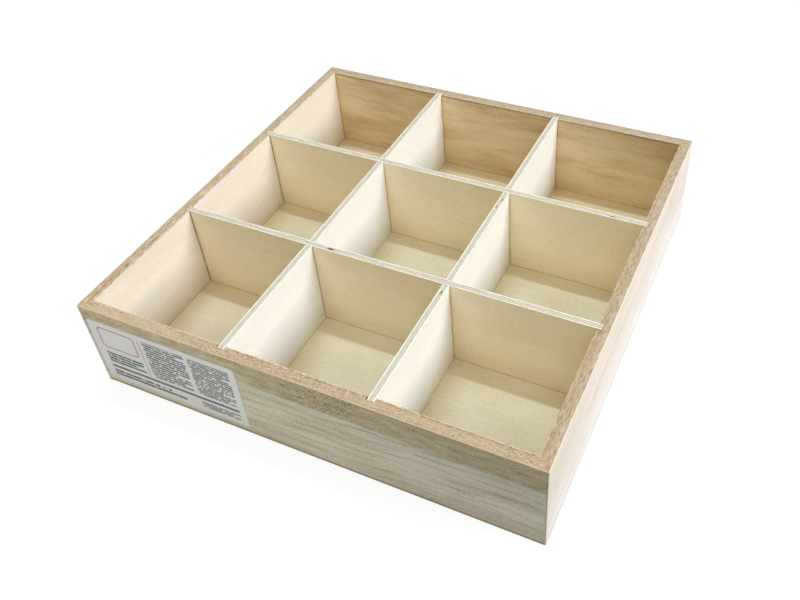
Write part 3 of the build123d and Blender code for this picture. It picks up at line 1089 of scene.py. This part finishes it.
# %% Bottom finish
def bottom_finish():
    """Thin poplar plywood: to the eye dull and fine-grained, with faint fibres along X.

    The fibres are drawn 0.9 mm thick, far coarser than real, so that they show."""
    wood = new_wood("poplar_plywood_bottom", 0.0)
    tree, place = wood.tree, wood.place
    fibres = patches(tree, place, (30, 0.9, 0.9), 3.0, detail=3)
    clouds = patches(tree, place, (40, 25, 10), 8.0)
    flecks = patches(tree, place, (2.0, 1.2, 1.0), 14.0)
    shade = add(tree, "MapRange", [summed(tree, [(fibres, 0.5), (flecks, 0.8)], clouds), 0.85, 1.45])
    colour = add(tree, "Mix", {0: shade, 6: FLOOR_TONES[0], 7: FLOOR_TONES[1]}, **COLOURS)
    on_floor = add(tree, "MapRange", [wood.height, floor_height - 0.3, floor_height - 0.1])
    colour = add(tree, "Mix", {0: on_floor, 6: colour, 7: floor_side(wood, colour)}, **COLOURS)
    sides = add(tree, "SeparateXYZ", [add(tree, "VectorMath", [place], operation="ABSOLUTE")], output=None)
    widest = add(tree, "Math", [sides.outputs["X"], sides.outputs["Y"]], operation="MAXIMUM")
    on_edge = add(tree, "MapRange", [widest, *FULL_WIDTH])
    colour = add(tree, "Mix", {0: on_edge, 6: colour, 7: bottom_edge(wood)}, **COLOURS)
    return raw_wood(wood, colour, roughness=0.72, relief=fibres, strength=0.3, depth=0.2)


wear(nodes["bottom_panel"], bottom_finish())
print("bottom:", nodes["bottom_panel"].active_material.name)

# %% [markdown]
# ## The staples
#
# The bottom is held by fine galvanised wire staples, which can be seen only from below.
# Galvanising leaves a dull grey skin of zinc crystals, so the wire is metallic but fairly
# rough. One grey and one roughness would do from afar. A mottle with patches of 0.4 mm, about
# as large as such crystals, changes both and keeps the wire from looking like plastic.

# %% Staple finish
def staple_finish():
    """Galvanised steel wire: to the eye a soft grey metal without a clear reflection."""
    material, tree = new_material("galvanised_wire")
    mottle = patches(tree, grain_place(tree), (0.4, 0.4, 0.4), 2.0)
    colour = add(tree, "ValToRGB", [mottle], stops=[(0.35, "#A9ABAC"), (0.65, "#CBCCCB")])
    rough = add(tree, "MapRange", [mottle, 0.3, 0.7, 0.38, 0.52])
    surface = add(tree, "BsdfPrincipled", {"Base Color": colour, "Metallic": 1.0, "Roughness": rough})
    add(tree, "OutputMaterial", [surface], output=None)
    return material


wear(nodes["bottom_staples"], staple_finish())
print("staples:", nodes["bottom_staples"].active_material.name)

# %% [markdown]
# ## Surfaces from grids of points
#
# The two pieces made here, the label and the torn fibres, are surfaces that a grid of points
# covers: one parameter along the rows and one along the columns. The numbers of the points
# stand in the same grid, so that slices of it give every quad at once. A bevelled plane would
# do for the label and curves for the fibres, but whole arrays are quicker for hundreds of
# them, and every surface comes out closed.

# %% Meshes from grids of points
def mesh_object(name, points, faces, material):
    """A mesh object from points in millimetres, at the origin, wearing one material."""
    mesh = bpy.data.meshes.new(name)
    mesh.from_pydata((np.array(points) * MM).tolist(), [], faces)
    mesh.materials.append(material)
    thing = bpy.data.objects.new(name, mesh)
    bpy.context.scene.collection.objects.link(thing)
    return thing


def skin(corners):
    """Quads between the neighbours in a grid of point numbers.

    They face whoever sees the columns run to the right and the rows run up."""
    quads = [corners[:-1, :-1], corners[:-1, 1:], corners[1:, 1:], corners[1:, :-1]]
    return np.stack(quads, axis=-1).reshape(-1, 4)


def sheet_faces(rows, columns):
    """Quads of a closed sheet: a front grid, the same grid again behind it, and the rim between."""
    front = np.arange(rows * columns).reshape(rows, columns)
    back = front + rows * columns
    rim = []
    for side in (back, front):
        ring = np.concatenate([side[0, :-1], side[:-1, -1], side[-1, :0:-1], side[:0:-1, 0]])
        rim.append(np.append(ring, ring[0]))
    return np.concatenate([skin(front), skin(back[:, ::-1]), skin(np.array(rim))]).tolist()


print("a sheet of 2 by 3 points has", len(sheet_faces(2, 3)), "faces")

# %% [markdown]
# ## The label: its sheet
#
# A thin paper label is stuck on the left half of the front board. It is about a tenth of a
# millimetre thick and doesn't lie quite flat, because the glue under it is uneven. A plane
# with a Solidify and a Bevel modifier would do. Here the rows of its grid start further in
# where they pass a corner, which rounds the corners and gives the bulge in the same formula.

# %% Label sheet
LABEL_LEFT, LABEL_BOTTOM = 3.0 - half_width, 4.8
LABEL_WIDTH, LABEL_HEIGHT, LABEL_CORNER = 86.2, 41.9, 1.5
LABEL_BACK, LABEL_FRONT = 0.01, 0.09


def label_points():
    """Front and back grid of the label in mm.

    A row at height c (1 - cos t) from the nearer long edge starts c (1 - sin t) in from the
    side, and the front bulges by 0.03 + 0.02 sin(x/9 + z/6) + 0.02 sin(x/4 - z/11)."""
    turn = np.linspace(0.0, np.pi / 2, 6)
    rise = LABEL_CORNER * (1 - np.cos(turn))
    inset = LABEL_CORNER * (1 - np.sin(turn))
    middle = np.linspace(LABEL_CORNER, LABEL_HEIGHT - LABEL_CORNER, 14)[1:-1]
    heights = np.concatenate([rise, middle, LABEL_HEIGHT - rise[::-1]])
    insets = np.concatenate([inset, np.zeros(len(middle)), inset[::-1]])
    across = np.linspace(0.0, 1.0, 45)
    x = insets[:, None] + across * (LABEL_WIDTH - 2 * insets[:, None])
    z = np.repeat(heights[:, None], len(across), axis=1)
    bulge = 0.03 + 0.02 * np.sin(x / 9.0 + z / 6.0) + 0.02 * np.sin(x / 4.0 - z / 11.0)
    front = np.stack([x + LABEL_LEFT, -half_width - LABEL_FRONT - bulge, z + LABEL_BOTTOM], axis=-1)
    back = np.stack([x + LABEL_LEFT, np.full_like(x, -half_width - LABEL_BACK), z + LABEL_BOTTOM], axis=-1)
    return front, back


front, back = label_points()
print(f"the label stands out by {-half_width - front[..., 1].min():.2f} mm")

# %% [markdown]
# ## The label: its print
#
# The paper has a smooth, slightly dull coating and one colour of print besides black. The
# print is so small that it reads as rows of grey marks. Its layout here is a plain one of its
# own: at the left an empty frame with a few lines of marks under it, beside it two columns of
# marks that stand for text without being any, then a heavy rule and two short blocks at the
# foot. A picture of a label would need an image file. Noise that is cut into rows, words and
# letters gives the same grey, and it is sharp from near as well.

# %% Where the print stands
INK = "#101114"
# Left, bottom, right and top of a block of marks, the height of its rows and how dark they are
PRINT_BLOCKS = (
    (32.5, 13.0, 57.0, 38.5, 1.75, 0.95), (59.5, 13.0, 82.5, 38.5, 1.45, 0.95),
    (5.0, 13.0, 28.0, 21.0, 2.0, 1.0), (5.0, 3.0, 50.0, 7.6, 2.3, 1.0), (59.5, 3.0, 82.5, 7.6, 1.5, 0.95))
# Lower left and upper right corner
HEAVY_RULE = ((5.0, 9.2), (82.5, 11.0))
COLUMN_LINE = ((30.0, 13.0), (30.35, 38.5))
EMPTY_FRAME = ((5.0, 24.5), (27.0, 38.0))


def beyond(tree, place, low, high, corner):
    """How far a place is outside a rectangle with round corners, in mm, or -corner well inside.

    With q = max(|place - middle| - half size + corner, 0) it is |q| - corner."""
    middle = [(a + b) / 2 for a, b in zip(low, high)] + [0.0]
    core = [(b - a) / 2 - corner for a, b in zip(low, high)] + [0.0]
    away = add(tree, "VectorMath", [place, middle], operation="SUBTRACT")
    away = add(tree, "VectorMath", [away], operation="ABSOLUTE")
    away = add(tree, "VectorMath", [away, core], operation="SUBTRACT")
    away = add(tree, "VectorMath", [away, (0.0, 0.0, 0.0)], operation="MAXIMUM")
    length = add(tree, "VectorMath", [away], output="Value", operation="LENGTH")
    return add(tree, "Math", [length, corner], operation="SUBTRACT")


print("rows of marks:", sum(int((top - bottom) / row) for _, bottom, _, top, row, _ in PRINT_BLOCKS))

# %% Rows of marks
def rows_of_marks(tree, flat, across, up, block):
    """Grey marks in rows that fill one block.

    The row is the whole number of row heights above the block's foot. Each row stops at a
    place of its own, coarse noise along it leaves gaps between words, and fine noise breaks
    the words up, coarser than real letters so that it shows from here."""
    left, bottom, right, top, row_height, strength = block
    row = add(tree, "Math", [up, bottom], operation="SUBTRACT")
    row = add(tree, "Math", [row, row_height], operation="DIVIDE")
    number = add(tree, "Math", [row], operation="FLOOR")
    part = add(tree, "Math", [row], operation="FRACT")
    # The marks fill the middle two thirds of a row
    in_row = add(tree, "Math", [part, 0.5, 0.33], operation="COMPARE")
    end = add(tree, "TexWhiteNoise", {"W": number}, output="Value", noise_dimensions="1D")
    shortest, longest = right - 0.3 * (right - left), right + 0.4 * (right - left)
    end = add(tree, "MapRange", [end, 0.0, 1.0, shortest, longest])
    written = add(tree, "Math", [across, end], operation="LESS_THAN")
    spread = add(tree, "CombineXYZ", [across, number, 0.0])
    words = add(tree, "MapRange", [patches(tree, spread, (1.5, 0.4, 1.0), left, detail=1), 0.37, 0.40])
    letters = add(tree, "MapRange", [patches(tree, spread, (0.6, 0.4, 1.0), left + 9, detail=1), 0.34, 0.39])
    outside = beyond(tree, flat, (left, bottom), (right, top), 0.2)
    marks = add(tree, "MapRange", [outside, -0.1, 0.05, strength, 0.0])
    for limit in (in_row, written, words, letters):
        marks = add(tree, "Math", [marks, limit], operation="MULTIPLY")
    return marks


print("height of a row in each block, in mm:", [block[4] for block in PRINT_BLOCKS])

# %% [markdown]
# ## The label: its finish
#
# The label is read flat, from its lower left corner. First comes the paper with a faint cloud
# in its white, then everything black, and last the thin red line of the empty frame. Coated
# paper has a thin smooth layer over a duller base, and Principled's coat is made for that: it
# gives the low sheen that a single roughness would spread too wide or too tight.

# %% Label finish
PAPER_TONES, FRAME_RED = ("#CECEC5", "#D6D6CD"), "#B0566E"


def label_finish():
    """Coated label paper: to the eye an even off-white with a low sheen and sharp dark print."""
    material, tree = new_material("coated_label_paper")
    place = grain_place(tree, centre=(LABEL_LEFT, 0.0, LABEL_BOTTOM))
    axes = add(tree, "SeparateXYZ", [place], output=None).outputs
    flat = add(tree, "CombineXYZ", [axes["X"], axes["Z"], 0.0])
    cloud = patches(tree, flat, (30, 20, 20), 4.0)
    colour = add(tree, "Mix", {0: cloud, 6: PAPER_TONES[0], 7: PAPER_TONES[1]}, **COLOURS)
    printed = 0.0
    for block in PRINT_BLOCKS:
        marks = rows_of_marks(tree, flat, axes["X"], axes["Z"], block)
        printed = add(tree, "Math", [printed, marks], operation="MAXIMUM")
    for low, high in (HEAVY_RULE, COLUMN_LINE):
        rule = add(tree, "MapRange", [beyond(tree, flat, low, high, 0.1), -0.08, 0.05, 0.9, 0.0])
        printed = add(tree, "Math", [printed, rule], operation="MAXIMUM")
    colour = add(tree, "Mix", {0: printed, 6: colour, 7: INK}, **COLOURS)
    outline = add(tree, "Math", [beyond(tree, flat, *EMPTY_FRAME, 2.2)], operation="ABSOLUTE")
    outline = add(tree, "MapRange", [outline, 0.38, 0.52, 0.9, 0.0])
    colour = add(tree, "Mix", {0: outline, 6: colour, 7: FRAME_RED}, **COLOURS)
    surface = add(tree, "BsdfPrincipled", {"Base Color": colour, "Roughness": 0.45, "IOR": 1.5,
                                           "Coat Weight": 0.15, "Coat Roughness": 0.3})
    add(tree, "OutputMaterial", [surface], output=None)
    return material


label_corners = np.concatenate([front.reshape(-1, 3), back.reshape(-1, 3)])
label = mesh_object("paper_label", label_corners, sheet_faces(*front.shape[:2]), label_finish())
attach(label, "tray")
print("label faces:", len(label.data.polygons))

# %% [markdown]
# ## Fibres on the torn rims
#
# Where the saw tore the rim, short fibres lean over its inner edge. Each is a thin tapering
# splinter that springs from the edge, runs along it and bends a little inwards and up. They
# are small, but they break the clean line of the edge, as in the real wood. Blender's hair
# would draw them faster, but as threads without a closed surface. One formula bends all of
# them at once.

# %% One formula for all splinters
FIBRE_SHARES = np.array([0.0, 0.25, 0.5, 0.8, 0.98])
FIBRE_CORNERS = np.array([0, 1, 2]) * 2 * np.pi / 3
UP = np.array([0.0, 0.0, 1.0])


def splinters(start, run, lean, lift, thick, along, inwards):
    """Points of many thin splinters at once: one row for each, then its rings, then their corners.

    At the share t of its length the middle is at start + run t along the board, lean t^2
    inwards and lift sin(2 t) up. The radius there is thick (1 - t)^0.6, so that the ring at
    the angle a lies at the radius times (cos a inwards + sin a up). The rings turn the other
    way where run is negative, so that every splinter faces outwards."""
    t = FIBRE_SHARES[None, :, None]
    run, lean, lift, thick = (value[:, None, None] for value in (run, lean, lift, thick))
    middle = start[:, None] + run * t * along + lean * t ** 2 * inwards + lift * np.sin(2 * t) * UP
    upright = np.sin(FIBRE_CORNERS)[:, None] * np.sign(run)[..., None] * UP
    around = np.cos(FIBRE_CORNERS)[:, None] * inwards + upright
    return middle[:, :, None] + (thick * (1 - t) ** 0.6)[..., None] * around


print("points on a splinter:", len(FIBRE_SHARES) * len(FIBRE_CORNERS))

# %% [markdown]
# ## Fibres: where they stand
#
# Most of them stand on the front and right boards, which are torn the most. Chance sets the
# place, length, lean and thickness of each. A scatter in geometry nodes would do that too, but
# here those which would start or end over a slot can be left out by one comparison. A fixed
# seed makes chance repeat itself, so that the tray looks the same every time.

# %% Scatter them along the rims
# Board turn in degrees, then where the fibres begin and end along it, and how many are tried
TORN_EDGES = (
    (0, -20.0, 112.0, 110), (90, -112.0, 105.0, 170), (180, -105.0, 105.0, 40), (270, -100.0, 112.0, 40))
# How far they keep from a slot and from the inner corner, and how deep their roots are sunk, in mm
SLOT_MARGIN, CORNER_MARGIN, SUNK = 0.7, 0.6, 0.04
random = np.random.default_rng(7)


def edge_splinters(turn, begin, end, count):
    """Splinters along one inner edge. None starts or ends over a slot or past the inner corner."""
    angle = math.radians(turn)
    along = np.array([math.cos(angle), math.sin(angle), 0.0])
    inwards = np.array([-math.sin(angle), math.cos(angle), 0.0])
    place = random.uniform(begin, end, count)
    run = random.uniform(0.9, 3.2, count) * random.choice([-1, 1], count)
    slot_gap = np.minimum(abs(abs(place) - pitch / 2), abs(abs(place + run) - pitch / 2))
    kept = (slot_gap > divider_thickness / 2 + SLOT_MARGIN) & (abs(place + run) < inner_half - CORNER_MARGIN)
    place, run, count = place[kept], run[kept], kept.sum()
    out = inner_half + random.uniform(-0.02, 0.15, count)
    start = place[:, None] * along - out[:, None] * inwards + (rim_height - SUNK) * UP
    lean = random.uniform(0.1, 0.55, count)
    lift = random.uniform(0.0, 0.3, count)
    thick = random.uniform(0.06, 0.13, count)
    return splinters(start, run, lean, lift, thick, along, inwards)


fibre_points = np.concatenate([edge_splinters(*edge) for edge in TORN_EDGES])
print("fibres:", len(fibre_points))

# %% [markdown]
# ## Fibres: closing and colouring them
#
# A splinter is a tube with three sides: in the grid of its points the first corner comes again
# after the last, and two small caps close its ends. Torn fibres were never planed, so they are
# duller than the faces. Each could have a colour of its own, but noise with patches about as
# long as a fibre gives nearly the same, with one material.

# %% Close and colour the splinters
corners = np.arange(fibre_points[0, ..., 0].size).reshape(fibre_points.shape[1:3])
tube = skin(np.column_stack([corners, corners[:, 0]]))
caps = np.array([corners[0, ::-1], corners[-1]])
first_corners = np.arange(len(fibre_points))[:, None, None] * corners.size
fibre_faces = (tube + first_corners).reshape(-1, 4).tolist() + (caps + first_corners).reshape(-1, 3).tolist()


def fibre_finish():
    """Dry torn wood: to the eye dull cream threads with some brown ones between."""
    material, tree = new_material("torn_wood_fibre")
    tone = patches(tree, grain_place(tree), (2.5, 2.5, 2.5), 3.0, detail=1)
    colour = add(tree, "ValToRGB", [tone], stops=[(0.36, "#9A7650"), (0.46, "#E4D2B6"), (0.62, "#F2E6D2")])
    surface = add(tree, "BsdfPrincipled", {"Base Color": colour, "Roughness": 0.8, "IOR": WOOD_IOR})
    add(tree, "OutputMaterial", [surface], output=None)
    return material


fibres = mesh_object("rim_fibres", fibre_points.reshape(-1, 3), fibre_faces, fibre_finish())
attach(fibres, "tray")
print("fibre faces:", len(fibres.data.polygons))

# %% [markdown]
# ## Light
#
# The shadows inside the tray tell where the lamps are. The edge of the shadow at the back of
# each floor is sharp, so the lamp overhead is thin from front to back, and it hangs a little
# behind the tray, because only the back of each floor is dark. It is long from side to side,
# because no divider that runs front to back throws such an edge. The right faces inside are
# bright above and fade softly to grey below, so a large softbox stands low on the right. A
# weak one in front keeps the front board from going black. The lamps are far away for the
# size of the tray, so all nine compartments look alike. A picture of a studio in the world
# could light it too, but its lamps couldn't be moved and sized one by one.

# %% Set the lamps
def lamp(name, direction, distance, size, watts, colour):
    """A rectangular lamp that looks at the tray from a direction, at a distance in metres."""
    data = bpy.data.lights.new(name, "AREA")
    data.shape = "RECTANGLE"
    data.size, data.size_y = size
    data.energy = watts
    data.color = linear(colour)[:3]
    light = bpy.data.objects.new(name, data)
    away = np.array(direction) / np.linalg.norm(direction)
    # A lamp nearly overhead has its width along X, and any other has it level
    side = np.array([1.0, 0.0, 0.0]) if abs(away[2]) > 0.8 else np.cross([0.0, 0.0, 1.0], away)
    side -= away * (side @ away)
    side /= np.linalg.norm(side)
    stand(light, np.column_stack([side, np.cross(away, side), away]), away * distance)


def toward(azimuth, elevation):
    """Unit direction at an azimuth counted from +X towards +Y and an elevation, in degrees."""
    a, e = math.radians(azimuth), math.radians(elevation)
    return (math.cos(a) * math.cos(e), math.sin(a) * math.cos(e), math.sin(e))


lamp("overhead_strip", (-0.06, 0.178, 0.982), 2.5, (1.3, 0.08), 20.6, "#EEF5FF")
lamp("side_softbox", toward(6.5, 25), 3.0, (0.95, 1.05), 81.5, "#EFF5FF")
lamp("front_softbox", toward(-80, 40), 2.0, (1.5, 1.0), 12.0, "#FFFFFF")
print("lamps:", ", ".join(light.name for light in bpy.data.lights))

# %% [markdown]
# ## Background and ground
#
# A tray like this is photographed on a white sweep. More light would make the paper white,
# but it would also burn out the pale wood. So the camera, and whatever a gloss or a glass
# sends on, sees a white world and a ground that glows a little, while the tray is lit by a
# dimmer world. The ground keeps some plain paper in it, which is what the soft shadow of the
# tray falls on, and it glows more far away, where the lamps no longer reach.

# %% World
FILL_LIGHT = 0.28


def seen_directly(tree):
    """1 for rays from the camera and for those that a gloss or glass sends on, otherwise 0."""
    path = add(tree, "LightPath", output=None).outputs
    seen = add(tree, "Math", [path["Is Camera Ray"], path["Is Glossy Ray"]], operation="MAXIMUM")
    return add(tree, "Math", [seen, path["Is Transmission Ray"]], operation="MAXIMUM")


world = bpy.data.worlds.new("studio")
world.use_nodes = True
bpy.context.scene.world = world
tree = world.node_tree
tree.nodes.clear()
fill = add(tree, "Background", ["#FFFFFF", FILL_LIGHT])
white = add(tree, "Background", ["#FFFFFF", 1.0])
add(tree, "OutputWorld", [add(tree, "MixShader", [seen_directly(tree), fill, white])], output=None)
print(f"the world lights the tray with {FILL_LIGHT:.0%} of the white that the camera sees")

# %% Ground
GLOW_SHARE = 0.76
# Distance in metres and strength of the glow where it is weakest, then where it is strongest
GLOW_NEAR, GLOW_FAR = (0.6, 1.13), (2.5, 1.26)
GROUND_REACH = 10.0

# White paper sweep: matt and even, so that all it shows is the shadow
ground_material, tree = new_material("white_sweep")
paper = add(tree, "BsdfDiffuse", ["#E8E8E8"])
away = add(tree, "VectorMath", [add(tree, "TexCoord", output="Object")], output="Value", operation="LENGTH")
strength = add(tree, "MapRange", [away, GLOW_NEAR[0], GLOW_FAR[0], GLOW_NEAR[1], GLOW_FAR[1]])
glow = add(tree, "Emission", ["#FFFFFF", strength])
share = add(tree, "Math", [seen_directly(tree), GLOW_SHARE], operation="MULTIPLY")
add(tree, "OutputMaterial", [add(tree, "MixShader", [share, paper, glow])], output=None)

ground_corners = np.array([(-1, -1, 0), (1, -1, 0), (1, 1, 0), (-1, 1, 0)]) * GROUND_REACH / MM
ground = mesh_object("ground", ground_corners, [(0, 1, 2, 3)], ground_material)
print("ground reaches", GROUND_REACH, "m each way")

# %% [markdown]
# ## The end
#
# The Standard view shows a colour about as it is written, where a filmic one would bend it.

# %% Colour handling
bpy.context.scene.view_settings.view_transform = "Standard"
print("pieces made here:", label.name, "and", fibres.name)
